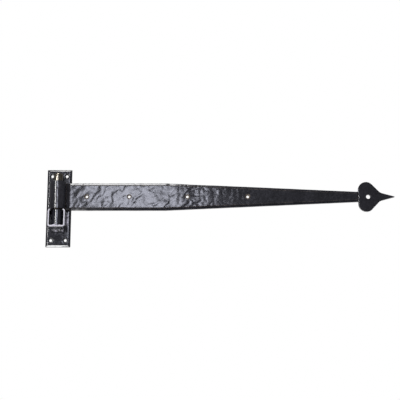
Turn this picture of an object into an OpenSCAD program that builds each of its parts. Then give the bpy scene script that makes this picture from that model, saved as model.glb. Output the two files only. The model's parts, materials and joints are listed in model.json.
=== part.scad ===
// Forged strap hinge that lifts off a pintle hook.
// The hook's back plate screws to the jamb. A U bracket and a socket on the plate hold the pin.
// The strap screws to the door. Its rolled eye drops over the pin, and it ends in a spade finial.
// The origin is the centre of the back plate's screw pattern, on its back face.
// +X runs along the closed strap, +Y into the wall and +Z up the pin.

/* [Strap] */
// Length of the strap leaf from the outside of its eye to the finial's point
strap_l = 610; // [480:5:760]
// Width of the parallel part of the strap, which is also the height of the eye
strap_w = 50; // [40:1:64]
// Thickness of the bar that the strap is forged from
strap_t = 6; // [4:0.5:8]
// Width of the strap where it meets the finial
strap_tip_w = 19; // [15:0.5:25]
// Distance from the pin's axis to the start of the taper
taper_start = 190; // [120:5:240]
// Width of the forged bevel along the strap's long edges
strap_bevel_w = 4.2; // [2:0.1:6]
// Depth of the forged bevel along the strap's long edges
strap_bevel_d = 2.4; // [1:0.1:3]
// Width of the dressed chamfer round each end of the eye
eye_chamfer = 0.8; // [0.3:0.1:1.5]
// Radius of the weld's hollow face in the corner between the eye and the strap
eye_weld_r = 8; // [5:0.5:10]
// How far the eye's weld stops short of each end of the eye
eye_weld_inset = 1.5; // [0.5:0.5:4]

/* [Door screws] */
// Distance from the pin's axis to the strap's first screw hole
first_hole_x = 50; // [40:1:64]
// Distance from the first screw hole to the second
pitch_1 = 75; // [60:1:90]
// Distance from the second screw hole to the third
pitch_2 = 103; // [85:1:105]
// Distance from the third screw hole to the fourth
pitch_3 = 107; // [90:1:110]
// Diameter of the door's screw holes
door_hole_d = 5; // [4.5:0.5:8]
// Diameter of their countersinks
door_csk_d = 9.4; // [8.5:0.1:12]

/* [Finial] */
// Length of the finial from its root to its point
finial_l = 64.9; // [56:0.1:80]
// Thickness of the finial
finial_t = 5; // [3.5:0.5:6]
// Radius of the finial's two lobes
lobe_r = 14.4; // [12:0.1:17]
// Distance from the strap's centre line to each lobe's centre
lobe_side = 12.6; // [10:0.1:14]
// Distance from the finial's root to where its straight flanks would meet
flank_l = 46.6; // [42:0.1:50]
// Half width of the finial's tail where the straight flanks would meet
tail_half_w = 5.5; // [4:0.1:7]
// Half width of the finial's blunted point
point_half_w = 0.5; // [0.3:0.1:1.5]
// Radius in the corner between each flank and the tail
flank_fillet_r = 11; // [6:0.5:14]
// Distance from the finial's root to its screw hole
finial_hole_x = 17.7; // [14:0.1:20]
// Diameter of the finial's screw hole
finial_hole_d = 7.2; // [5:0.1:8]
// Width of the welded gap between the strap and the finial
finial_weld_w = 1.6; // [1:0.1:2.5]
// How far the weld there stays below the finial's face
finial_weld_drop = 1.2; // [0.4:0.1:2]

/* [Pin] */
// Diameter of the pin
pin_d = 16; // [12:0.5:20]
// How far the pin stands above the eye
pin_proud = 14.4; // [5:0.2:20]
// Width of the chamfer round the pin's top
pin_chamfer = 1.4; // [0.5:0.1:2.5]
// Diameter of the pin's tail through the bracket's floor
tail_d = 11; // [8:0.5:11.5]
// Diameter of the riveted head under the bracket's floor
rivet_d = 13.6; // [12:0.1:15]
// Height of the riveted head
rivet_h = 2.6; // [1.5:0.1:4]
// Radial clearance of the pin in its socket
pin_clearance = 0.08; // [0.03:0.01:0.1]
// Radial clearance of the eye on the pin
eye_clearance = 0.25; // [0.1:0.05:0.5]
// Gap between the eye and its seat on the socket
seat_gap = 0.3; // [0.2:0.1:1]

/* [Back plate] */
// Height of the back plate
plate_h = 140; // [130:1:180]
// Width of the back plate
plate_w = 44; // [41:1:60]
// Thickness of the back plate
plate_t = 5; // [4:0.5:8]
// Width of the bevel round the plate's face
plate_bevel_w = 3.4; // [1:0.1:5]
// Depth of the bevel round the plate's face
plate_bevel_d = 2.2; // [0.5:0.1:3]
// Distance from the plate's ends to its screw holes
plate_hole_end = 12; // [9:0.5:16]
// Distance from the plate's sides to its screw holes
plate_hole_side = 9; // [8:0.5:12]
// Diameter of the jamb's screw holes
plate_hole_d = 5; // [4.5:0.5:7]
// Diameter of their countersinks
plate_csk_d = 8.8; // [8:0.1:12]
// Gap between the plate's face and the back of the strap's eye
plate_gap = 1.75; // [1:0.25:4]

/* [Bracket] */
// Thickness of the bar that the U bracket is bent from
bracket_t = 3; // [2:0.25:4]
// Height of the U bracket
bracket_h = 32; // [26:1:36]
// Distance from the plate's lower end to the bracket's underside
bracket_rise = 32; // [30:1:40]
// Gap between the socket and each side of the bracket
bracket_gap = 2.25; // [1.5:0.25:4]
// Outside radius of the bracket's bent corners
bracket_r = 4; // [3.5:0.25:5]
// How far the bracket's sides turn in at the top
bracket_lip = 4.5; // [3.5:0.25:5]
// How far the bracket stands out past the socket
bracket_proud = 1; // [0:0.25:3]
// Wall of the socket round the pin
socket_wall = 1.92; // [1.5:0.01:3]
// Width of the chamfer round the socket's top
socket_chamfer = 0.6; // [0.2:0.1:1]
// Leg of the fillet weld round the socket's foot
socket_weld_leg = 1.6; // [1:0.1:2]
// Length of the weld under the bracket
floor_weld_l = 23; // [16:1:26]
// Radius of the weld under the bracket
floor_weld_r = 4.4; // [3:0.1:5]
// Radius of the welds along the bracket's two sides
side_weld_r = 2.6; // [1.5:0.1:3]
// How far the side welds stop short of the bracket's corners
side_weld_inset = 5; // [4:0.5:8]

/* [Hidden] */
$fn = 64;
// Overshoot that keeps a cut's faces clear of the solid's own faces
eps = 0.5;

pin_r = pin_d / 2;
eye_bore_r = pin_r + eye_clearance;
eye_r = eye_bore_r + strap_t;
socket_bore_r = pin_r + pin_clearance;
socket_r = socket_bore_r + socket_wall;

plate_face_y = -plate_t;
strap_back_y = plate_face_y - plate_gap;
strap_face_y = strap_back_y - strap_t;
pin_y = strap_back_y - eye_r;

bracket_z = -plate_h / 2 + bracket_rise;
floor_z = bracket_z + bracket_t;
seat_z = bracket_z + bracket_h;
bracket_w = 2 * (socket_r + bracket_gap + bracket_t);
bracket_depth = plate_face_y - pin_y + socket_r + bracket_proud;

eye_z = seat_z + seat_gap;
strap_mid_z = eye_z + strap_w / 2;
pin_top_z = eye_z + strap_w + pin_proud;

plate_hole_x = plate_w / 2 - plate_hole_side;
plate_hole_z = plate_h / 2 - plate_hole_end;

tip_x = strap_l - eye_r;
finial_x = tip_x - finial_l;
strap_end_x = finial_x - finial_weld_w;
strap_holes = [
    first_hole_x,
    first_hole_x + pitch_1,
    first_hole_x + pitch_1 + pitch_2,
    first_hole_x + pitch_1 + pitch_2 + pitch_3
];

// Lays a drawing in X and Z as a slab whose back face is at y and whose front is t nearer the room
module slab(y, t) {
    translate([0, y, 0])
        rotate([90, 0, 0])
            linear_extrude(height = t)
                children();
}

// Through hole along Y with a countersink that opens on the face at face_y
module screw_hole(x, face_y, z, t, hole_d, csk_d) {
    csk_depth = (csk_d - hole_d) / 2;
    translate([x, face_y, z])
        rotate([-90, 0, 0]) {
            translate([0, 0, -eps])
                cylinder(h = t + 2 * eps, d = hole_d);
            translate([0, 0, -eps])
                cylinder(h = csk_depth + eps, d1 = csk_d + 2 * eps, d2 = hole_d);
        }
}

// Bevelled section of the back plate, with its back on the X axis
module plate_section(size) {
    flat = size / 2 - plate_bevel_w;
    shoulder = plate_t - plate_bevel_d;
    polygon([
        [-size / 2, 0], [-size / 2, -shoulder], [-flat, -plate_t],
        [flat, -plate_t], [size / 2, -shoulder], [size / 2, 0]
    ]);
}

module back_plate() {
    color("#2c2c30")
        difference() {
            intersection() {
                translate([0, 0, -plate_h / 2])
                    linear_extrude(height = plate_h)
                        plate_section(plate_w);
                translate([-plate_w / 2, 0, 0])
                    rotate([90, 0, 90])
                        linear_extrude(height = plate_w)
                            mirror([1, -1])
                                plate_section(plate_h);
            }
            for (x = [-plate_hole_x, plate_hole_x], z = [-plate_hole_z, plate_hole_z])
                screw_hole(x, plate_face_y, z, plate_t, plate_hole_d, plate_csk_d);
        }
}

// Rectangle with all four corners rounded by true arcs, standing on z = 0
module round_box(w, h, r) {
    translate([-w / 2 + r, 0])
        square([w - 2 * r, h]);
    translate([-w / 2, r])
        square([w, h - 2 * r]);
    for (x = [-w / 2 + r, w / 2 - r], z = [r, h - r])
        translate([x, z])
            circle(r);
}

module bracket() {
    color("#303034")
        difference() {
            slab(plate_face_y, bracket_depth)
                translate([0, bracket_z])
                    difference() {
                        round_box(bracket_w, bracket_h, bracket_r);
                        translate([0, bracket_t])
                            round_box(bracket_w - 2 * bracket_t, bracket_h - 2 * bracket_t, bracket_r - bracket_t);
                        translate([-bracket_w / 2 + bracket_lip, bracket_h / 2])
                            square([bracket_w - 2 * bracket_lip, bracket_h]);
                    }
            translate([0, pin_y, bracket_z - eps])
                cylinder(h = bracket_t + 2 * eps, r = tail_d / 2 + pin_clearance);
        }
}

// Bead of a quarter round that lies in a right-angled corner, from its middle, with ball ends
module bead(l, r) {
    intersection() {
        union() {
            translate([-l / 2 + r, 0, 0])
                rotate([0, 90, 0])
                    cylinder(h = l - 2 * r, r = r);
            for (x = [-l / 2 + r, l / 2 - r])
                translate([x, 0, 0])
                    sphere(r);
        }
        translate([-l / 2, -r, -r])
            cube([l, r, r]);
    }
}

module bracket_floor_weld() {
    color("#6d6a78")
        translate([0, plate_face_y, bracket_z])
            bead(floor_weld_l, floor_weld_r);
}

module bracket_side_welds() {
    color("#35353a")
        for (side = [0, 1])
            mirror([side, 0, 0])
                translate([bracket_w / 2, plate_face_y, bracket_z + bracket_h / 2])
                    rotate([0, -90, 0])
                        bead(bracket_h - 2 * side_weld_inset, side_weld_r);
}

module pin_socket() {
    color("#26262a")
        translate([0, pin_y, 0])
            rotate_extrude()
                polygon([
                    [socket_bore_r, floor_z], [socket_r, floor_z], [socket_r, seat_z - socket_chamfer],
                    [socket_r - socket_chamfer, seat_z], [socket_bore_r, seat_z]
                ]);
}

module socket_weld() {
    color("#4a4a50")
        translate([0, pin_y, 0])
            rotate_extrude()
                polygon([
                    [socket_r, floor_z], [socket_r + socket_weld_leg, floor_z],
                    [socket_r, floor_z + socket_weld_leg]
                ]);
}

module pintle_pin() {
    shoulder_z = floor_z + pin_clearance;
    rivet_z = bracket_z - pin_clearance;
    color("#8d8372")
        translate([0, pin_y, 0])
            rotate_extrude()
                polygon([
                    [0, rivet_z - rivet_h], [rivet_d / 2 - rivet_h / 2, rivet_z - rivet_h],
                    [rivet_d / 2, rivet_z - rivet_h / 2], [rivet_d / 2, rivet_z],
                    [tail_d / 2, rivet_z], [tail_d / 2, shoulder_z],
                    [pin_r, shoulder_z], [pin_r, pin_top_z - pin_chamfer],
                    [pin_r - pin_chamfer, pin_top_z], [0, pin_top_z]
                ]);
}

// Corners of the flat strap's outline, drawn in by inset from its long edges
function strap_outline(inset) = [
    [0, -strap_w / 2 + inset], [taper_start, -strap_w / 2 + inset],
    [strap_end_x, -strap_tip_w / 2 + inset], [strap_end_x, strap_tip_w / 2 - inset],
    [taper_start, strap_w / 2 - inset], [0, strap_w / 2 - inset]
];

// Flat strap with bevelled long edges, from the pin's axis to the finial's weld
module strap_band() {
    levels = [[strap_back_y, 0], [strap_face_y + strap_bevel_d, 0], [strap_face_y, strap_bevel_w]];
    corners = len(strap_outline(0));
    top = (len(levels) - 1) * corners;
    walls = [
        for (level = [1:len(levels) - 1], i = [0:corners - 1])
            let (low = (level - 1) * corners, high = level * corners, next = (i + 1) % corners)
            [low + i, high + i, high + next, low + next]
    ];
    polyhedron(
        points = [
            for (level = levels)
                for (corner = strap_outline(level[1]))
                    [corner.x, level[0], strap_mid_z + corner.y]
        ],
        faces = concat(
            [[for (i = [0:corners - 1]) i], [for (i = [corners - 1:-1:0]) top + i]],
            walls
        )
    );
}

// Square stub under the eye's weld, before the long edges are bevelled
module strap_root() {
    translate([0, strap_face_y, eye_z])
        cube([eye_r + eye_weld_r / 2, strap_t, strap_w]);
}

module strap() {
    color("#2a2a2e")
        difference() {
            union() {
                strap_band();
                strap_root();
            }
            for (x = strap_holes)
                screw_hole(x, strap_face_y, strap_mid_z, strap_t, door_hole_d, door_csk_d);
        }
}

// End of the strap's bar, rolled round the pin until its cut end comes back to the strap's face
module strap_eye() {
    end_x = sqrt(eye_r * eye_r - eye_bore_r * eye_bore_r);
    reach = 2 * eye_r / end_x;
    color("#2e2e33")
        translate([0, pin_y, eye_z])
            difference() {
                rotate_extrude()
                    polygon([
                        [eye_bore_r, 0], [eye_r - eye_chamfer, 0], [eye_r, eye_chamfer],
                        [eye_r, strap_w - eye_chamfer], [eye_r - eye_chamfer, strap_w],
                        [eye_bore_r, strap_w]
                    ]);
                translate([0, 0, -eps])
                    linear_extrude(height = strap_w + 2 * eps)
                        polygon([
                            [0, 0], [end_x * reach, eye_bore_r * reach],
                            [end_x * reach, eye_r * 2], [0, eye_r * 2]
                        ]);
            }
}

// Fillet in the corner between the eye and the strap, touching both along true arcs
module eye_weld() {
    hollow_y = strap_face_y - eye_weld_r;
    hollow_x = sqrt(pow(eye_r + eye_weld_r, 2) - pow(hollow_y - pin_y, 2));
    color("#242428")
        translate([0, 0, eye_z + eye_weld_inset])
            linear_extrude(height = strap_w - 2 * eye_weld_inset)
                difference() {
                    polygon([
                        [0, pin_y], [hollow_x, hollow_y], [hollow_x, strap_face_y], [0, strap_face_y]
                    ]);
                    translate([0, pin_y])
                        circle(eye_r);
                    translate([hollow_x, hollow_y])
                        circle(eye_weld_r);
                }
}

// Points along an arc round a centre, from one angle to another
function arc(centre, r, from, to, steps) =
    [for (i = [0:steps]) centre + r * [cos(from + (to - from) * i / steps), sin(from + (to - from) * i / steps)]];

// Upper edge of the spade, from its root round the lobe and down the hollow flank to the point
function spade_edge() =
    let (
        flank_a = atan2(lobe_side, flank_l - lobe_r) + asin(lobe_r / norm([flank_l - lobe_r, lobe_side])),
        tail_slope = (tail_half_w - point_half_w) / (finial_l - flank_l),
        tail_a = atan(tail_slope),
        corner_x = (flank_l * tan(flank_a) - tail_half_w - flank_l * tail_slope) / (tan(flank_a) - tail_slope),
        corner = [corner_x, tail_half_w + (flank_l - corner_x) * tail_slope],
        bisector_a = (180 - flank_a - tail_a) / 2,
        hollow = corner + flank_fillet_r / sin(bisector_a + tail_a) * [cos(bisector_a), sin(bisector_a)]
    )
    concat(
        arc([lobe_r, lobe_side], lobe_r, 180, 90 - flank_a, 28),
        arc(hollow, flank_fillet_r, 270 - flank_a, 270 - tail_a, 8),
        [[finial_l, point_half_w]]
    );

// Spade with a straight root, lobes either side of the centre line and a long tail
module spade() {
    edge = spade_edge();
    lower = [for (i = [len(edge) - 1:-1:0]) [edge[i][0], -edge[i][1]]];
    polygon(concat(edge, lower));
}

module finial() {
    color("#29292d")
        difference() {
            translate([finial_x, 0, strap_mid_z])
                slab(strap_back_y, finial_t)
                    spade();
            translate([finial_x + finial_hole_x, strap_back_y + eps, strap_mid_z])
                rotate([90, 0, 0])
                    cylinder(h = finial_t + 2 * eps, d = finial_hole_d);
        }
}

module finial_weld() {
    color("#1e1e21")
        translate([strap_end_x, strap_back_y - finial_t + finial_weld_drop, strap_mid_z - strap_tip_w / 2])
            cube([finial_weld_w, finial_t - finial_weld_drop, strap_tip_w]);
}

back_plate();
bracket();
bracket_floor_weld();
bracket_side_welds();
pin_socket();
socket_weld();
pintle_pin();
strap();
strap_eye();
eye_weld();
finial();
finial_weld();
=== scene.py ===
"""Forged strap hinge on a pintle hook, dressed around its fixed frame.

The strap is a flat bar that is tapered, bevelled and rolled round the pin, as a smith makes it.
The plate, the bracket, the finial and the welds are worked over from the frame's own solids. The
socket and the pin are turned. The painted pieces are hammered in their meshes, and paint, oil,
rubbed iron and the painted highlights on the bracket's edge and the weld beads are procedural
materials.
"""

import json
import math

import bmesh
import bpy
from bpy.props import FloatProperty, FloatVectorProperty, IntProperty, PointerProperty
from bpy.types import Operator, Panel, PropertyGroup
from mathutils import Matrix, Vector, noise


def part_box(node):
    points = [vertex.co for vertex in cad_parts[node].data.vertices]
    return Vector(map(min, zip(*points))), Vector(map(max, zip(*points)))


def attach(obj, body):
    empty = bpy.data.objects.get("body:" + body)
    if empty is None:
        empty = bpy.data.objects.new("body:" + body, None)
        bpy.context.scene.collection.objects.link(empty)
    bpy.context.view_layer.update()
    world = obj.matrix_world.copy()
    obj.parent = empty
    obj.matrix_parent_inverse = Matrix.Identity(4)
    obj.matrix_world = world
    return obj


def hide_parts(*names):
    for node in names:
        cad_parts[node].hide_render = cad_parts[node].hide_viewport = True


bl_info = {
    "name": "Forged Strap Hinge",
    "version": (1, 0, 0),
    "blender": (4, 5, 0),
    "location": "View3D > Sidebar > Hinge",
    "description": "Builds a hammered, black painted strap hinge with its hook, pin and studio",
    "category": "Add Mesh",
}

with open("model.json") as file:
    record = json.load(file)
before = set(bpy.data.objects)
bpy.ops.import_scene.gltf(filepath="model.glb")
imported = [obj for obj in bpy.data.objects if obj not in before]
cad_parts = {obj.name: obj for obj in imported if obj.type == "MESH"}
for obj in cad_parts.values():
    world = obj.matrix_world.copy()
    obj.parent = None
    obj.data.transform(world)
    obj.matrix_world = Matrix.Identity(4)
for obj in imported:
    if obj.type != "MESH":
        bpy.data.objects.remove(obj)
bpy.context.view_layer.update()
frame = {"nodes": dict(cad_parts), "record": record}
MM = 0.001


# ---------------------------------------------------------------- the frame's sizes


def mount(name):
    """One of the record's mounts by its name."""
    return next(m for m in frame["record"]["mounts"] if m["name"] == name)


def row_of_two(name):
    """The X places of the two screw holes of a mount along the strap."""
    m = mount(name)
    half = m["dims"]["spacing_x_mm"] * MM / 2
    return [m["pos_m"][0] - half, m["pos_m"][0] + half]


STRAP_LOW, STRAP_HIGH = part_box("strap")
EYE_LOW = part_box("strap_eye")[0]
EYE_WELD_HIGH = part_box("eye_weld")[1]
FINIAL_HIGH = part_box("finial")[1]
FINIAL_WELD_LOW, FINIAL_WELD_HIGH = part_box("finial_weld")
PIN_LOW, PIN_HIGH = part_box("pintle_pin")
SOCKET_LOW, SOCKET_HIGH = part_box("pin_socket")
BRACKET_LOW, BRACKET_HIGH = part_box("bracket")

STRAP_T = STRAP_HIGH.y - EYE_WELD_HIGH.y
STRAP_FACE_Y = STRAP_HIGH.y - STRAP_T
STRAP_W = STRAP_HIGH.z - STRAP_LOW.z
STRAP_MID_Z = (STRAP_HIGH.z + STRAP_LOW.z) / 2
STRAP_END_X = STRAP_HIGH.x
STRAP_TIP_W = FINIAL_WELD_HIGH.z - FINIAL_WELD_LOW.z
EYE_R = -EYE_LOW.x
BORE_R = EYE_R - STRAP_T
PIN_R = (PIN_HIGH.x - PIN_LOW.x) / 2
PIN_GAP = 0.00008
PIN_AXIS = Vector((0, (PIN_HIGH.y + PIN_LOW.y) / 2, 0))
SCREW_R = mount("door_screws_near")["dims"]["hole_r_mm"] * MM
STRAP_HOLES_X = row_of_two("door_screws_near") + row_of_two("door_screws_far")


# ---------------------------------------------------------------- what a user may change


class HingeForging(PropertyGroup):
    """Sizes of the hammer's and the file's work."""

    taper_start: FloatProperty(
        name="Taper start",
        description="Distance from the pin's axis to where the strap starts to narrow",
        default=0.19, min=0.1, max=0.3, unit="LENGTH")
    bevel_width: FloatProperty(
        name="Bevel width", description="Width of the strap's forged bevels",
        default=0.0042, min=0.001, max=0.008, unit="LENGTH")
    bevel_depth: FloatProperty(
        name="Bevel depth", description="Depth of the strap's forged bevels",
        default=0.0024, min=0.0005, max=0.004, unit="LENGTH")
    dent_depth: FloatProperty(
        name="Dent depth", description="Depth of the broad hammer dents",
        default=0.00022, min=0, max=0.001, unit="LENGTH")
    dent_size: FloatProperty(
        name="Dent size", description="Distance between broad hammer dents",
        default=0.018, min=0.004, max=0.04, unit="LENGTH")
    ripple_depth: FloatProperty(
        name="Ripple depth", description="Depth of the ripples between dents",
        default=0.00036, min=0, max=0.001, unit="LENGTH")
    ripple_size: FloatProperty(
        name="Ripple size", description="Half the distance between ripples",
        default=0.0064, min=0.002, max=0.02, unit="LENGTH")
    edge_wander: FloatProperty(
        name="Edge wander", description="How far the forged edges wander from true",
        default=0.00036, min=0, max=0.001, unit="LENGTH")
    countersink_r: FloatProperty(
        name="Countersink radius", description="Radius of the strap's countersinks",
        default=0.0047, min=0.0035, max=0.006, unit="LENGTH")
    stations: IntProperty(
        name="Stations", description="Slices along the strap's bar",
        default=470, min=100, max=600)


class HingeFinish(PropertyGroup):
    """Colours of the paint, the steel, the rubbed iron, and the painted highlights on the bracket's
    edge and the welds.
    """

    paint: FloatVectorProperty(
        name="Paint", description="Black paint in the hollows", subtype="COLOR",
        default=(0.006, 0.006, 0.008), min=0, max=1)
    paint_high: FloatVectorProperty(
        name="Paint on high spots", description="Black paint where it is thin", subtype="COLOR",
        default=(0.014, 0.014, 0.018), min=0, max=1)
    rubbed: FloatVectorProperty(
        name="Rubbed edges", description="Iron that shows through on worn edges", subtype="COLOR",
        default=(0.11, 0.085, 0.065), min=0, max=1)
    # Painted highlight: the light grey that the bracket's front edge shows where it catches the light.
    edge: FloatVectorProperty(
        name="Edge highlight", description="Painted highlight on the bracket's front edge", subtype="COLOR",
        default=(0.32, 0.31, 0.34), min=0, max=1)
    steel: FloatVectorProperty(
        name="Bare steel", description="Oiled steel of the pin", subtype="COLOR",
        default=(0.27, 0.245, 0.205), min=0, max=1)
    rust: FloatVectorProperty(
        name="Bloom", description="Light rust bloom on the pin", subtype="COLOR",
        default=(0.24, 0.11, 0.045), min=0, max=1)
    # Painted highlight: the pale lavender that the weld beads show where they catch the light.
    weld: FloatVectorProperty(
        name="Weld", description="Painted highlight in patches on the weld beads", subtype="COLOR",
        default=(0.5, 0.48, 0.57), min=0, max=1)


class HingeStudio(PropertyGroup):
    """Camera, lights and floor."""

    lens: FloatProperty(
        name="Lens", description="Focal length in millimetres", default=85, min=20, max=300)
    below: FloatProperty(
        name="Below", description="How far below level the camera stands",
        default=math.radians(12), min=0, max=1, subtype="ANGLE")
    distance: FloatProperty(
        name="Distance", description="From the camera to the strap's face",
        default=1.67, min=0.5, max=5, unit="LENGTH")
    room: FloatProperty(
        name="Room", description="How bright the room looks in shiny surfaces",
        default=0.16, min=0, max=3)
    fill: FloatProperty(
        name="Fill", description="Strength of the even light on dull surfaces",
        default=0.95, min=0, max=3)
    floor_drop: FloatProperty(
        name="Floor drop", description="How far the floor lies below the origin",
        default=0.62, min=0.3, max=3, unit="LENGTH")


# ---------------------------------------------------------------- shader maths


class Sock:
    """A shader socket that takes part in Python expressions, each of which adds Math nodes."""

    def __init__(self, graph, socket):
        self.graph = graph
        self.socket = socket

    def math(self, operation, *others):
        return self.graph.add("ShaderNodeMath", {"operation": operation}, [self, *others])

    def __add__(self, other):
        return self.math("ADD", other)

    def __radd__(self, other):
        return self.math("ADD", other)

    def __sub__(self, other):
        return self.math("SUBTRACT", other)

    def __rsub__(self, other):
        return self.graph.add("ShaderNodeMath", {"operation": "SUBTRACT"}, [other, self])

    def __mul__(self, other):
        return self.math("MULTIPLY", other)

    def __rmul__(self, other):
        return self.math("MULTIPLY", other)

    def clamped(self):
        return self.graph.add("ShaderNodeClamp", {}, [self])

    def span(self, low, high):
        """0 below low, 1 above high and smooth in between."""
        settings = {"interpolation_type": "SMOOTHSTEP"}
        return self.graph.add("ShaderNodeMapRange", settings, [self, low, high, 0.0, 1.0])


class Graph:
    """The node tree of one material, or of the world."""

    def __init__(self, owner):
        owner.use_nodes = True
        self.tree = owner.node_tree
        self.tree.nodes.clear()

    def add(self, kind, settings=None, inputs=(), output=0):
        """Adds a node: its settings are set first, then its sockets by order or by name.

        Returns one of its outputs, or None from a node that ends the tree.
        """
        node = self.tree.nodes.new(kind)
        for key, value in (settings or {}).items():
            setattr(node, key, value)
        pairs = inputs.items() if isinstance(inputs, dict) else enumerate(inputs)
        for key, value in pairs:
            if isinstance(value, Sock):
                self.tree.links.new(value.socket, node.inputs[key])
            else:
                node.inputs[key].default_value = value
        return Sock(self, node.outputs[output]) if node.outputs else None

    def place(self, stretch=(1, 1, 1)):
        """Object coordinates, stretched."""
        coordinates = self.add("ShaderNodeTexCoord", output="Object")
        sockets = {"Vector": coordinates, "Scale": stretch}
        return self.add("ShaderNodeMapping", {"vector_type": "POINT"}, sockets)

    def noise(self, place, scale, detail=4.0, roughness=0.55):
        """Cloudy noise, with about scale cells to the metre."""
        return self.add("ShaderNodeTexNoise", {}, {
            "Vector": place, "Scale": scale, "Detail": detail, "Roughness": roughness,
            "Distortion": 0.0})

    def cells(self, place, scale):
        """Distance to the middle of the nearest cell."""
        sockets = {"Vector": place, "Scale": scale}
        return self.add("ShaderNodeTexVoronoi", {"feature": "F1"}, sockets, output="Distance")

    def mix(self, factor, a, b):
        """A colour between a and b."""
        a, b = (c if isinstance(c, Sock) else (*tuple(c)[:3], 1.0) for c in (a, b))
        return self.add("ShaderNodeMix", {"data_type": "RGBA"}, {0: factor, 6: a, 7: b}, output=2)

    def bump(self, height, distance):
        sockets = {"Height": height, "Distance": distance, "Strength": 1.0}
        return self.add("ShaderNodeBump", {}, sockets, output="Normal")

    def surface(self, shader, kind="ShaderNodeOutputMaterial"):
        """Ends the tree with a shader."""
        self.add(kind, {}, {"Surface": shader})


def painted_iron(name, finish, rubbed=1.0, coarse=1.0, gloss=0.0, bare=None):
    """Black gloss paint over hammered iron, with thin high spots, runs, pits and rubbed edges. A
    colour given as bare replaces the rubbed iron on those edges; the bracket's is a painted highlight.
    """
    material = bpy.data.materials.new(name)
    g = Graph(material)
    place = g.place()
    broad = g.noise(place, scale=45.0, detail=3.0)
    mottle = g.noise(place, scale=260.0, detail=5.0, roughness=0.6)
    peel = g.noise(place, scale=1300.0, detail=2.0)
    moved = g.add("ShaderNodeVectorMath", {"operation": "ADD"}, [place, (0.013, 0.007, 0.021)])
    pits = g.cells(moved, scale=420.0)
    # The attribute marks worn edges, and on the bracket also the band of painted highlight along its
    # front.
    worn = g.add("ShaderNodeAttribute", {"attribute_name": "wear"}, output="Fac")
    thin = (broad * 0.6 + mottle * 0.6 - 0.1).span(0.35, 0.75)
    # Rubbed iron on worn edges, and on the bracket a painted highlight along its edges.
    rub_and_highlight = (worn * rubbed * (mottle * 1.6)).span(0.35, 0.95)
    colour = g.mix(thin, finish.paint, finish.paint_high)
    # The rubbed colour, or bare where given, which on the bracket is a painted light grey highlight.
    colour = g.mix(rub_and_highlight * 0.75, colour, bare or finish.rubbed)
    rough = (mottle - 0.5) * 0.16 + broad * 0.08 + rub_and_highlight * 0.14 + (0.12 - gloss)
    pit_patches = g.noise(place, scale=90.0, detail=2.0).span(0.5, 0.66)
    pitted = (1.0 - pits.span(0.0, 0.28)) * pit_patches
    height = mottle * (0.24 * coarse) + peel * 0.04 - pitted * (0.2 * coarse)
    shader = g.add("ShaderNodeBsdfPrincipled", {}, {
        "Base Color": colour, "Roughness": rough.clamped(), "Metallic": rub_and_highlight * 0.35, "IOR": 1.5,
        "Normal": g.bump(height, distance=0.00016)})
    g.surface(shader)
    return material


def oiled_steel(name, finish):
    """Bare drawn steel with upright streaks, a little rust bloom, rubbed rings and a painted rivet."""
    material = bpy.data.materials.new(name)
    g = Graph(material)
    streaks = g.noise(g.place((1, 1, 0.02)), scale=620.0, detail=4.0, roughness=0.6)
    bloom = g.noise(g.place((1, 1, 0.35)), scale=150.0, detail=5.0, roughness=0.65)
    rings = g.noise(g.place((0.05, 0.05, 1)), scale=2400.0, detail=2.0)
    oil = g.noise(g.place(), scale=90.0, detail=3.0)
    dark_steel = tuple(c * 0.45 for c in finish.steel)
    colour = g.mix(streaks.span(0.38, 0.62), dark_steel, finish.steel)
    colour = g.mix(bloom.span(0.5, 0.72) * 0.6, colour, finish.rust)
    rough = (streaks - 0.5) * 0.25 + oil * 0.16 + bloom.span(0.5, 0.72) * 0.18 + 0.2
    height = g.add("ShaderNodeSeparateXYZ", {}, [g.place()], output="Z")
    painted = 1.0 - height.span(BRACKET_LOW.z + 0.0002, BRACKET_LOW.z + 0.0006)
    colour = g.mix(painted, colour, finish.paint_high)
    shader = g.add("ShaderNodeBsdfPrincipled", {}, {
        "Base Color": colour, "Roughness": rough.clamped(),
        "Metallic": (1.0 - bloom.span(0.5, 0.75) * 0.35) * (1.0 - painted),
        "Normal": g.bump(streaks * 0.6 + rings * 0.25, distance=0.00006)})
    g.surface(shader)
    return material


def weld_metal(name, finish):
    """Rippled weld bead in black paint, with patches of pale painted highlight."""
    material = bpy.data.materials.new(name)
    g = Graph(material)
    grain = g.noise(g.place(), scale=700.0, detail=4.0)
    spatter_and_highlight = g.noise(g.place(), scale=160.0, detail=3.0)
    # The pale patches of the weld colour are a painted highlight; between them is black paint.
    colour = g.mix(spatter_and_highlight.span(0.4, 0.7), finish.paint, finish.weld)
    rough = grain * 0.2 + 0.16
    shader = g.add("ShaderNodeBsdfPrincipled", {}, {
        "Base Color": colour, "Roughness": rough.clamped(),
        "Metallic": spatter_and_highlight.span(0.5, 0.8) * 0.25,
        "Normal": g.bump(grain * 0.5 + spatter_and_highlight * 0.6, distance=0.00012)})
    g.surface(shader)
    return material


def pale_floor(name):
    """Plain pale floor with the faintest mottle."""
    material = bpy.data.materials.new(name)
    g = Graph(material)
    cloud = g.noise(g.place(), scale=1.5, detail=2.0)
    shader = g.add("ShaderNodeBsdfPrincipled", {}, {
        "Base Color": g.mix(cloud, (0.86, 0.86, 0.87), (0.9, 0.9, 0.9)), "Roughness": 0.9})
    g.surface(shader)
    return material


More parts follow.
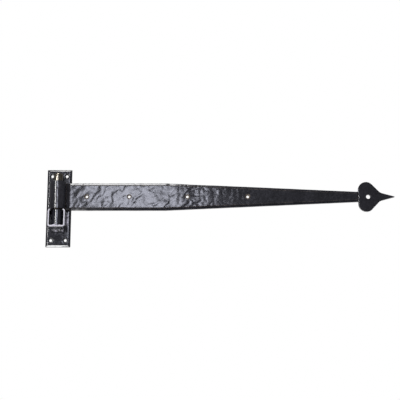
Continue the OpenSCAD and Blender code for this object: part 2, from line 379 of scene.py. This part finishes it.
def finish_material(kind, finish):
    """The material of that kind, made once."""
    made = bpy.data.materials.get(kind)
    if made:
        return made
    makers = {
        "strap_paint": lambda: painted_iron(kind, finish, gloss=-0.015),
        "plate_paint": lambda: painted_iron(kind, finish, coarse=0.4, gloss=0.03),
        "finial_paint": lambda: painted_iron(kind, finish, coarse=0.45, rubbed=0.8),
        # The bracket's rubbed edges take the edge colour, a painted light grey highlight.
        "bracket_paint": lambda: painted_iron(
            kind, finish, coarse=0.5, rubbed=1.6, bare=finish.edge),
        "socket_paint": lambda: painted_iron(kind, finish, coarse=0.5, gloss=0.03),
        "weld_metal": lambda: weld_metal(kind, finish),
        "oiled_steel": lambda: oiled_steel(kind, finish),
    }
    return makers[kind]()


# ---------------------------------------------------------------- hammering and finishing


MERGE = 1e-6
ARRIS_ANGLE = 0.5
WEAR_FROM, WEAR_TO = 0.12, 0.7
RIPPLE_LEAN = math.radians(38)
RIPPLE_THROUGH = 0.008
SLANTED_LENGTH = 0.014
UPRIGHT_LENGTH = 0.024
DRIFT_SIZE = 0.016
CREASE_SIZE = 0.0105
TURN_FROM, TURN_TO = 0.21, 0.27


def smoothstep(low, high, value):
    """0 below low, 1 above high and smooth in between."""
    t = min(max((value - low) / (high - low), 0.0), 1.0)
    return t * t * (3 - 2 * t)


def dent(co, forging):
    """How far the hammer has sunk the surface at a point, in metres.

    The ripples lean near the eye, and stand upright past the turn along the strap.
    """
    along = co.x * math.cos(RIPPLE_LEAN) - co.z * math.sin(RIPPLE_LEAN)
    across = co.x * math.sin(RIPPLE_LEAN) + co.z * math.cos(RIPPLE_LEAN)
    drift = 0.9 * noise.noise(co / DRIFT_SIZE)
    through = co.y / RIPPLE_THROUGH
    slanted = noise.noise(Vector((
        along / forging.ripple_size + drift, through, across / SLANTED_LENGTH)))
    upright = noise.noise(Vector((
        co.x / forging.ripple_size + drift, through, co.z / UPRIGHT_LENGTH + 7)))
    turn = smoothstep(TURN_FROM, TURN_TO, co.x)
    ripple = slanted * (1 - turn) + upright * turn * 0.4
    crease = 1 - min(abs(noise.noise(co / CREASE_SIZE + Vector((3, 5, 7)))) * 2.6, 1.0)
    cell = noise.voronoi(co / forging.dent_size)[0][0]
    blow = 1 - min(cell * 1.6, 1.0)
    swell = 0.5 + 0.5 * noise.noise(co / (forging.dent_size * 1.7))
    broad = forging.dent_depth * (swell + 0.5 * blow)
    fine = forging.ripple_depth * (0.6 + 0.7 * ripple + 0.28 * crease * crease)
    return max(broad + fine, 0.0)


def hammer(bm, forging, amount):
    """Sinks each vertex along its normal by the dent there, times amount(place)."""
    bm.normal_update()
    moves = []
    for v in bm.verts:
        share = amount(v.co)
        if share > 0:
            moves.append((v, v.normal * (-share * dent(v.co, forging))))
    for v, move in moves:
        v.co += move


def mark_wear(bm, worn):
    """Writes the attribute of worn edges and painted highlights: 1 on sharp outer edges and where
    worn(place) says, 0 on flats.
    """
    layer = bm.verts.layers.float.new("wear")
    bm.normal_update()
    for v in bm.verts:
        bend = 0.0
        for e in v.link_edges:
            if len(e.link_faces) == 2 and e.is_convex:
                bend = max(bend, e.calc_face_angle(0.0))
        v[layer] = max(smoothstep(WEAR_FROM, WEAR_TO, bend), worn(v.co))


def finish_piece(name, bm, body, node, kind, sharp=40.0, worn=lambda co: 0.0):
    """Turns a bmesh into a piece that rides on a body and stands for a frame node."""
    mark_wear(bm, worn)
    limit = math.radians(sharp)
    for e in bm.edges:
        e.smooth = len(e.link_faces) != 2 or e.calc_face_angle(0.0) < limit
    for f in bm.faces:
        f.smooth = True
    mesh = bpy.data.meshes.new(name)
    bm.to_mesh(mesh)
    bm.free()
    piece = bpy.data.objects.new(name, mesh)
    bpy.context.scene.collection.objects.link(piece)
    piece.data.materials.append(finish_material(kind, bpy.context.scene.hinge_finish))
    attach(piece, body)
    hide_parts(node)
    return piece


def through_modifier(bm, kind, settings):
    """The bmesh after one modifier has been applied to it."""
    mesh = bpy.data.meshes.new("blank")
    bm.to_mesh(mesh)
    bm.free()
    blank = bpy.data.objects.new("blank", mesh)
    bpy.context.scene.collection.objects.link(blank)
    modifier = blank.modifiers.new("work", kind)
    for key, value in settings.items():
        setattr(modifier, key, value)
    bpy.context.view_layer.update()
    result = blank.evaluated_get(bpy.context.evaluated_depsgraph_get()).to_mesh()
    out = bmesh.new()
    out.from_mesh(result)
    bpy.data.objects.remove(blank)
    bpy.data.meshes.remove(mesh)
    return out


def lathe(profile, axis_at, steps):
    """Spins a profile of (radius, height) points about a vertical axis into a closed solid."""
    bm = bmesh.new()
    verts = [bm.verts.new((axis_at.x + r, axis_at.y, z)) for r, z in profile]
    edges = [bm.edges.new(pair) for pair in zip(verts, verts[1:])]
    bmesh.ops.spin(bm, geom=verts + edges, cent=axis_at, axis=(0, 0, 1), angle=2 * math.pi,
                   steps=steps, use_merge=True, use_duplicate=False)
    bmesh.ops.remove_doubles(bm, verts=bm.verts, dist=MERGE)
    bmesh.ops.recalc_face_normals(bm, faces=bm.faces)
    return bm


def ease(bm, arris, offset):
    """Rounds the given edges slightly, as a file does."""
    bmesh.ops.bevel(bm, geom=arris, offset=offset, segments=2, affect="EDGES", profile=0.5,
                    material=-1, clamp_overlap=True)


def forged_copy(node, rounding, voxel, passes):
    """A frame node's solid, merged, its arrises eased and its skin remade in even small faces."""
    bm = bmesh.new()
    bm.from_mesh(frame["nodes"][node].data)
    bmesh.ops.remove_doubles(bm, verts=bm.verts, dist=MERGE)
    bmesh.ops.dissolve_limit(bm, angle_limit=math.radians(1), verts=bm.verts, edges=bm.edges)
    if rounding > 0:
        ease(bm, [
            e for e in bm.edges
            if len(e.link_faces) == 2 and e.is_convex and e.calc_face_angle(0.0) > ARRIS_ANGLE
        ], rounding)
    bm = through_modifier(bm, "REMESH", {"mode": "VOXEL", "voxel_size": voxel})
    for _ in range(passes):
        bmesh.ops.smooth_vert(
            bm, verts=bm.verts, factor=0.5, use_axis_x=True, use_axis_y=True, use_axis_z=True)
    return bm


# ---------------------------------------------------------------- the strap


ACROSS_CUTS = 35
DEPTH_CUTS = 3
BEVEL_ROWS = 4
FLAT_SHARE = 1 - 2 * BEVEL_ROWS / (ACROSS_CUTS + 1)
STRAP_ARRIS = 0.00045


def bar_section(s, half, bevel_w, bevel_d):
    """Across the bar, for s from -1 to 1: how far from the middle, and how far its face is sunk."""
    side = math.copysign(1.0, s)
    if abs(s) <= FLAT_SHARE:
        return s / FLAT_SHARE * (half - bevel_w), 0.0
    t = (abs(s) - FLAT_SHARE) / (1 - FLAT_SHARE)
    return side * (half - bevel_w * (1 - t)), bevel_d * t


def roll_place(u, depth, z):
    """Where a point of the straight bar goes when its end is rolled round the pin.

    u is the distance along the bar's back, which is negative in the roll. depth is from the back
    inwards.
    """
    if u >= 0:
        return Vector((u, STRAP_HIGH.y - depth, z))
    angle = math.pi / 2 - u / EYE_R
    r = EYE_R - depth
    return Vector((r * math.cos(angle), PIN_AXIS.y + r * math.sin(angle), z))


def straight_bar(stations):
    """The strap's bar before rolling: a fine box in (along, depth, across) from 0 to 1 each."""
    bm = bmesh.new()
    bmesh.ops.create_cube(bm, size=1.0, matrix=Matrix.Translation((0.5, 0.5, 0.5)))
    for axis, cuts in ((0, stations), (2, ACROSS_CUTS), (1, DEPTH_CUTS)):
        along = [e for e in bm.edges if abs(e.verts[0].co[axis] - e.verts[1].co[axis]) > 0.9]
        bmesh.ops.subdivide_edges(bm, edges=along, cuts=cuts, use_grid_fill=True)
    return bm


def on_two_walls(e):
    """Whether an edge of the unit box lies on two of its walls at once, which makes it an arris."""
    a, b = e.verts[0].co, e.verts[1].co
    near = 1e-5
    walls = [abs(a[i] - b[i]) < near and min(abs(a[i]), abs(a[i] - 1)) < near for i in range(3)]
    return sum(walls) == 2


def rolled_strap(forging):
    """The straight bar tapered, bevelled, rolled and eased along its arrises."""
    end_angle = math.acos(math.sqrt(EYE_R ** 2 - BORE_R ** 2) / EYE_R)
    roll_length = EYE_R * (1.5 * math.pi + end_angle)
    bm = straight_bar(forging.stations)
    arris = [e for e in bm.edges if on_two_walls(e)]
    taper_length = STRAP_END_X - forging.taper_start
    for v in bm.verts:
        along, depth, across = v.co
        u = -roll_length + along * (roll_length + STRAP_END_X)
        taper = min(max((u - forging.taper_start) / taper_length, 0.0), 1.0)
        half = STRAP_W / 2 + (STRAP_TIP_W - STRAP_W) / 2 * taper
        bevelled = smoothstep(0.012, 0.024, u)
        z, sunk = bar_section(
            across * 2 - 1, half, forging.bevel_width * (0.35 + 0.65 * bevelled),
            forging.bevel_depth * bevelled)
        sway = 0.5 + 0.5 * noise.noise(Vector((u / 0.021, math.copysign(3.0, z), 0)))
        wander = forging.edge_wander * sway * abs(z) / half
        v.co = roll_place(u, depth * (STRAP_T - sunk), STRAP_MID_Z + z - math.copysign(wander, z))
    bmesh.ops.recalc_face_normals(bm, faces=bm.faces)
    if bm.calc_volume(signed=True) < 0:
        bmesh.ops.reverse_faces(bm, faces=bm.faces)
    ease(bm, arris, STRAP_ARRIS)
    return bm


def drill(bm, cutter):
    """Cuts a closed cutter out of a bmesh."""
    mesh = bpy.data.meshes.new("drill")
    cutter.to_mesh(mesh)
    cutter.free()
    bit = bpy.data.objects.new("drill", mesh)
    bpy.context.scene.collection.objects.link(bit)
    cut = {"operation": "DIFFERENCE", "solver": "EXACT", "object": bit}
    out = through_modifier(bm, "BOOLEAN", cut)
    bpy.data.objects.remove(bit)
    bpy.data.meshes.remove(mesh)
    return out


def screw_cutter(places, face_y, back_y, hole_r, sink_r):
    """Countersunk drill bits along Y at (x, z) places, eased where they meet the face."""
    over = 0.002
    lip_w, lip_h = 0.0003, 0.00012
    depth = sink_r - hole_r
    profile = [
        (0.0, back_y + over), (hole_r, back_y + over), (hole_r, face_y + depth),
        (sink_r, face_y), (sink_r + lip_w, face_y - lip_h), (sink_r + lip_w, face_y - over),
        (0.0, face_y - over)
    ]
    whole = bmesh.new()
    for x, z in places:
        bit = lathe([(r, -y) for r, y in profile], Vector((0, 0, 0)), steps=40)
        bit.transform(Matrix.Translation((x, 0, z)) @ Matrix.Rotation(math.radians(90), 4, "X"))
        mesh = bpy.data.meshes.new("bit")
        bit.to_mesh(mesh)
        bit.free()
        whole.from_mesh(mesh)
        bpy.data.meshes.remove(mesh)
    bmesh.ops.recalc_face_normals(whole, faces=whole.faces)
    return whole


BORE_SKIN = 0.0008
BACK_SKIN = 0.0004
CALM_FROM, CALM_TO = 0.26, 0.37
SCAR_X = 0.243
SCAR_W = 0.014


def from_axis(co):
    """Distance of a point from the pin's axis."""
    return (Vector((co.x, co.y, 0)) - PIN_AXIS).length


def strap_dents(co):
    """Full hammering on the strap's face, less on its eye, back and tip, and none in the bore."""
    if co.x < EYE_R and from_axis(co) < BORE_R + BORE_SKIN:
        return 0.0
    if co.y > STRAP_HIGH.y - BACK_SKIN and co.x > 0:
        return 0.3
    eye = 0.85 if co.x < EYE_WELD_HIGH.x else 1.0
    calm = 1 - 0.6 * smoothstep(CALM_FROM, CALM_TO, co.x)
    scar = math.exp(-((co.x - SCAR_X) / SCAR_W) ** 2) * 0.8
    return (calm + scar) * eye


class HINGE_OT_strap(Operator):
    """Forge the tapered strap, roll its eye and drill its screw holes"""

    bl_idname = "hinge.strap"
    bl_label = "Strap"

    def execute(self, context):
        forging = context.scene.hinge_forging
        bm = rolled_strap(forging)
        hammer(bm, forging, strap_dents)
        places = [(x, STRAP_MID_Z) for x in STRAP_HOLES_X]
        sink_r = forging.countersink_r
        bm = drill(bm, screw_cutter(places, STRAP_FACE_Y, STRAP_HIGH.y, SCREW_R, sink_r))
        piece = finish_piece(
            "forged_strap", bm, "strap_leaf", "strap", "strap_paint")
        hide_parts("strap_eye")
        return {"FINISHED"}


class HINGE_OT_finial(Operator):
    """Forge the spade finial with eased edges"""

    bl_idname = "hinge.finial"
    bl_label = "Finial"

    def execute(self, context):
        bm = forged_copy("finial", rounding=0.0011, voxel=0.00055, passes=3)
        hammer(bm, context.scene.hinge_forging,
               lambda co: 0.2 if co.y > FINIAL_HIGH.y - 0.0008 else 0.4)
        finish_piece("spade_finial", bm, "strap_leaf", "finial", "finial_paint")
        return {"FINISHED"}


# ---------------------------------------------------------------- the hook


class HINGE_OT_plate(Operator):
    """Forge the bevelled back plate"""

    bl_idname = "hinge.plate"
    bl_label = "Back plate"

    def execute(self, context):
        bm = forged_copy("back_plate", rounding=0.0004, voxel=0.0006, passes=2)
        hammer(bm, context.scene.hinge_forging, lambda co: 0.12 if co.y > -0.0008 else 0.16)
        finish_piece("forged_plate", bm, "hook", "back_plate", "plate_paint")
        return {"FINISHED"}


class HINGE_OT_bracket(Operator):
    """Bend the U bracket from flat bar"""

    bl_idname = "hinge.bracket"
    bl_label = "Bracket"

    def execute(self, context):
        back, front = BRACKET_HIGH.y, BRACKET_LOW.y
        bm = forged_copy("bracket", rounding=0.0003, voxel=0.0005, passes=2)
        hammer(bm, context.scene.hinge_forging,
               lambda co: 0.22 * smoothstep(back, back - 0.003, co.y)
               if co.y < back - 0.001 else 0.0)
        # The band along the front, marked here as worn, is a painted highlight: it takes the edge
        # colour.
        finish_piece("bent_bracket", bm, "hook", "bracket", "bracket_paint",
                     worn=lambda co: smoothstep(front + 0.0011, front + 0.0003, co.y))
        return {"FINISHED"}


class HINGE_OT_socket(Operator):
    """Turn the painted socket round the pin's foot"""

    bl_idname = "hinge.socket"
    bl_label = "Pin socket"

    def execute(self, context):
        r = (SOCKET_HIGH.x - SOCKET_LOW.x) / 2
        bore = PIN_R + PIN_GAP
        low, high = SOCKET_LOW.z, SOCKET_HIGH.z
        shoulder, lead_in = 0.0009, 0.0004
        steps = 14
        wall = [(r, low + (high - shoulder - low) * i / steps) for i in range(steps + 1)]
        profile = [
            (bore, low), *wall, (r - 0.00025, high - 0.00025), (r - shoulder, high),
            (bore + lead_in, high), (bore, high - lead_in), (bore, low)
        ]
        bm = lathe(profile, PIN_AXIS, steps=72)
        hammer(bm, context.scene.hinge_forging,
               lambda co: 0.6 if from_axis(co) > r - 0.0003 else 0.0)
        finish_piece("turned_socket", bm, "hook", "pin_socket", "socket_paint")
        return {"FINISHED"}


class HINGE_OT_pin(Operator):
    """Turn the bare steel pin with its chamfered top and riveted tail"""

    bl_idname = "hinge.pin"
    bl_label = "Pin"

    def execute(self, context):
        low, high = PIN_LOW.z, PIN_HIGH.z
        seat, under = SOCKET_LOW.z + PIN_GAP, BRACKET_LOW.z - PIN_GAP
        tail_r, head_r = 0.0055, 0.0068
        head_edge, dome_h = 0.0009, 0.0014
        chamfer, foot_chamfer = 0.0014, 0.0005
        shaft_top = high - chamfer - 0.0006
        ring_step = 0.004
        crown = [
            (0.0, high - 0.00005), (PIN_R - chamfer, high - 0.0001),
            (PIN_R - chamfer * 0.8, high - 0.0004), (PIN_R - 0.0002, high - chamfer),
            (PIN_R, shaft_top)
        ]
        shaft = [(PIN_R, shaft_top - i * ring_step) for i in range(1, 20)]
        shaft = [ring for ring in shaft if ring[1] > SOCKET_LOW.z + 0.002]
        foot = [(PIN_R, seat + foot_chamfer), (PIN_R - foot_chamfer, seat), (tail_r, seat)]
        rivet = [(tail_r, under), (head_r, under), (head_r, under - head_edge)]
        dome = [
            (head_r * math.cos(a), low + dome_h - dome_h * math.sin(a))
            for a in (0.25, 0.5, 0.8, 1.1, 1.35)
        ]
        bm = lathe([*crown, *shaft, *foot, *rivet, *dome, (0.0, low)], PIN_AXIS, steps=72)
        finish_piece(
            "steel_pin", bm, "pin", "pintle_pin", "oiled_steel", sharp=50.0)
        return {"FINISHED"}


# ---------------------------------------------------------------- the welds


def rippled(node, along, pitch, height, voxel):
    """A weld bead with the puddle marks that the torch leaves as it moves along an axis."""
    bm = forged_copy(node, rounding=0.0, voxel=voxel, passes=2)
    low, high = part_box(node)
    bm.normal_update()
    moves = []
    for v in bm.verts:
        run = v.co[along] + 0.0006 * noise.noise(v.co / 0.003)
        wave = 0.5 - 0.5 * math.cos(2 * math.pi * run / pitch)
        edge = min(v.co.y - low.y, high.y - v.co.y, v.co.x - low.x, high.x - v.co.x)
        rough = 0.5 + 0.5 * noise.noise(v.co / 0.0022)
        fade = smoothstep(0.0, 0.0006, edge + 0.0003)
        moves.append((v, v.normal * (-height * (0.6 * wave + 0.4 * rough) * fade)))
    for v, move in moves:
        v.co += move
    return bm


class HINGE_OT_welds(Operator):
    """Lay the weld beads of the bracket, the socket, the eye and the finial"""

    bl_idname = "hinge.welds"
    bl_label = "Welds"

    def execute(self, context):
        # piece, node, body, the axis it runs along, ripple pitch, ripple height, voxel
        beads = [
            ("floor_bead", "bracket_floor_weld", "hook", 0, 0.0021, 0.0005, 0.0004),
            ("side_beads", "bracket_side_welds", "hook", 2, 0.0019, 0.0004, 0.0003),
            ("socket_bead", "socket_weld", "hook", 0, 0.0020, 0.00015, 0.0002),
            ("eye_bead", "eye_weld", "strap_leaf", 2, 0.0038, 0.00014, 0.0005),
            ("finial_bead", "finial_weld", "strap_leaf", 2, 0.0018, 0.0003, 0.0003),
        ]
        for name, node, body, along, pitch, height, voxel in beads:
            # The bracket's and the socket's beads take the material with the pale painted highlight;
            # the eye and finial beads are plain black paint.
            kind = "socket_paint" if node in ("eye_weld", "finial_weld") else "weld_metal"
            bm = rippled(node, along, pitch, height, voxel)
            finish_piece(name, bm, body, node, kind, sharp=60.0)
        return {"FINISHED"}


# ---------------------------------------------------------------- the studio


def aim(obj, target):
    """Turns a light or camera towards a point."""
    obj.rotation_euler = (Vector(target) - obj.location).to_track_quat("-Z", "Y").to_euler()


# name, place, the point it faces, size, radiance, colour
SOFTBOXES = (
    ("front_box", (0.022, -1.64, 0.33), (0.12, 0, 0.02), (0.36, 0.22), 15.4, (0.84, 0.86, 1.0)),
    ("top_box", (-0.05, -0.56, 1.2), (0.08, 0, 0.02), (0.42, 0.72), 15.0, (1, 1, 1)),
    ("left_strip", (-0.60, -1.22, 0.28), (0, PIN_AXIS.y, STRAP_MID_Z), (0.05, 0.7), 105.0,
     (1, 1, 1)),
    ("back_box", (1.45, 1.3, -0.2), (0.1, 0, 0), (0.7, 0.55), 9.0, (1, 1, 1)),
    ("low_box", (-0.05, -0.165, -0.29), (0, 0, -0.07), (0.1, 0.07), 24.0, (1, 1, 1)),
)
FLOOR_X = 0.25
FLOOR_R = 14.0
LOOK_X, LOOK_Z = 0.2505, 0.0130


def softbox(name, place, target, size, radiance, colour):
    """Rectangular area light of a given brightness, which the camera doesn't see."""
    light = bpy.data.lights.new(name, "AREA")
    light.shape = "RECTANGLE"
    light.size, light.size_y = size
    light.color = colour
    light.energy = radiance * math.pi * size[0] * size[1]
    lamp = bpy.data.objects.new(name, light)
    lamp.location = place
    aim(lamp, target)
    lamp.visible_camera = False
    bpy.context.scene.collection.objects.link(lamp)


def lit_world(room, fill):
    """White to the camera, an even fill to dull surfaces, and a dim grey room to shiny ones."""
    world = bpy.data.worlds.new("studio_world")
    bpy.context.scene.world = world
    g = Graph(world)
    seen = g.add("ShaderNodeLightPath", output="Is Camera Ray")
    dull = g.add("ShaderNodeLightPath", output="Is Diffuse Ray")
    strength = seen * (1.0 - room) + dull * (fill - room) + room
    background = g.add("ShaderNodeBackground", {}, {"Color": (1, 1, 1, 1), "Strength": strength})
    g.surface(background, "ShaderNodeOutputWorld")


def flag(name, low, high):
    """Black card that only reflections see, so that shiny edges which face it stay dark."""
    bm = bmesh.new()
    middle = (Vector(low) + Vector(high)) / 2
    size = Vector(high) - Vector(low)
    shape = Matrix.Translation(middle) @ Matrix.Diagonal((*size, 1))
    bmesh.ops.create_cube(bm, size=1.0, matrix=shape)
    mesh = bpy.data.meshes.new(name)
    bm.to_mesh(mesh)
    bm.free()
    card = bpy.data.objects.new(name, mesh)
    bpy.context.scene.collection.objects.link(card)
    material = bpy.data.materials.new("flag_cloth")
    g = Graph(material)
    weave = g.noise(g.place(), scale=400.0, detail=2.0)
    g.surface(g.add("ShaderNodeBsdfPrincipled", {}, {
        "Base Color": g.mix(weave, (0.004, 0.004, 0.004), (0.008, 0.008, 0.008)), "Roughness": 1.0,
        "Specular IOR Level": 0.0}))
    card.data.materials.append(material)
    card.visible_camera = False
    card.visible_diffuse = False
    card.visible_shadow = False
    card.visible_transmission = False


class HINGE_OT_stage(Operator):
    """Set the floor, the lights, the world and the camera"""

    bl_idname = "hinge.stage"
    bl_label = "Studio"

    def execute(self, context):
        studio = context.scene.hinge_studio
        bm = bmesh.new()
        bmesh.ops.create_circle(bm, cap_ends=True, segments=128, radius=FLOOR_R)
        bmesh.ops.translate(bm, verts=bm.verts, vec=(FLOOR_X, 0, -studio.floor_drop))
        mesh = bpy.data.meshes.new("floor")
        bm.to_mesh(mesh)
        bm.free()
        floor = bpy.data.objects.new("floor", mesh)
        context.scene.collection.objects.link(floor)
        floor.data.materials.append(pale_floor("floor_paint"))

        look = Vector((LOOK_X, STRAP_FACE_Y, LOOK_Z))
        away = Vector((0, -math.cos(studio.below), -math.sin(studio.below))) * studio.distance
        camera = bpy.data.objects.new("camera", bpy.data.cameras.new("camera"))
        camera.data.lens = studio.lens
        camera.data.sensor_width = 36
        camera.location = look + away
        aim(camera, look)
        context.scene.collection.objects.link(camera)
        context.scene.camera = camera

        lit_world(studio.room, studio.fill)
        for box in SOFTBOXES:
            softbox(*box)
        flag("low_flag", (-0.03, -1.3, -0.31), (1.0, -0.1, -0.30))
        context.scene.view_settings.view_transform = "Standard"
        context.scene.view_settings.look = "None"
        return {"FINISHED"}


# ---------------------------------------------------------------- the add-on


class HINGE_PT_panel(Panel):
    """Lists the hinge's pieces"""

    bl_idname = "HINGE_PT_panel"
    bl_label = "Forged Hinge"
    bl_space_type = "VIEW_3D"
    bl_region_type = "UI"
    bl_category = "Hinge"

    def draw(self, context):
        for operator in STEPS:
            self.layout.operator(operator.bl_idname)
        scene = context.scene
        for settings in (scene.hinge_forging, scene.hinge_finish, scene.hinge_studio):
            box = self.layout.box()
            for key in settings.__annotations__:
                box.prop(settings, key)


STEPS = (
    HINGE_OT_stage, HINGE_OT_strap, HINGE_OT_finial, HINGE_OT_plate, HINGE_OT_bracket,
    HINGE_OT_socket, HINGE_OT_pin, HINGE_OT_welds
)
CLASSES = (HingeForging, HingeFinish, HingeStudio, *STEPS, HINGE_PT_panel)


def register():
    for cls in CLASSES:
        bpy.utils.register_class(cls)
    bpy.types.Scene.hinge_forging = PointerProperty(type=HingeForging)
    bpy.types.Scene.hinge_finish = PointerProperty(type=HingeFinish)
    bpy.types.Scene.hinge_studio = PointerProperty(type=HingeStudio)


def unregister():
    del bpy.types.Scene.hinge_studio
    del bpy.types.Scene.hinge_finish
    del bpy.types.Scene.hinge_forging
    for cls in reversed(CLASSES):
        bpy.utils.unregister_class(cls)


def main():
    register()
    bpy.ops.hinge.stage()
    bpy.ops.hinge.strap()
    bpy.ops.hinge.finial()
    bpy.ops.hinge.plate()
    bpy.ops.hinge.bracket()
    bpy.ops.hinge.socket()
    bpy.ops.hinge.pin()
    bpy.ops.hinge.welds()


if __name__ == "__main__":
    main()
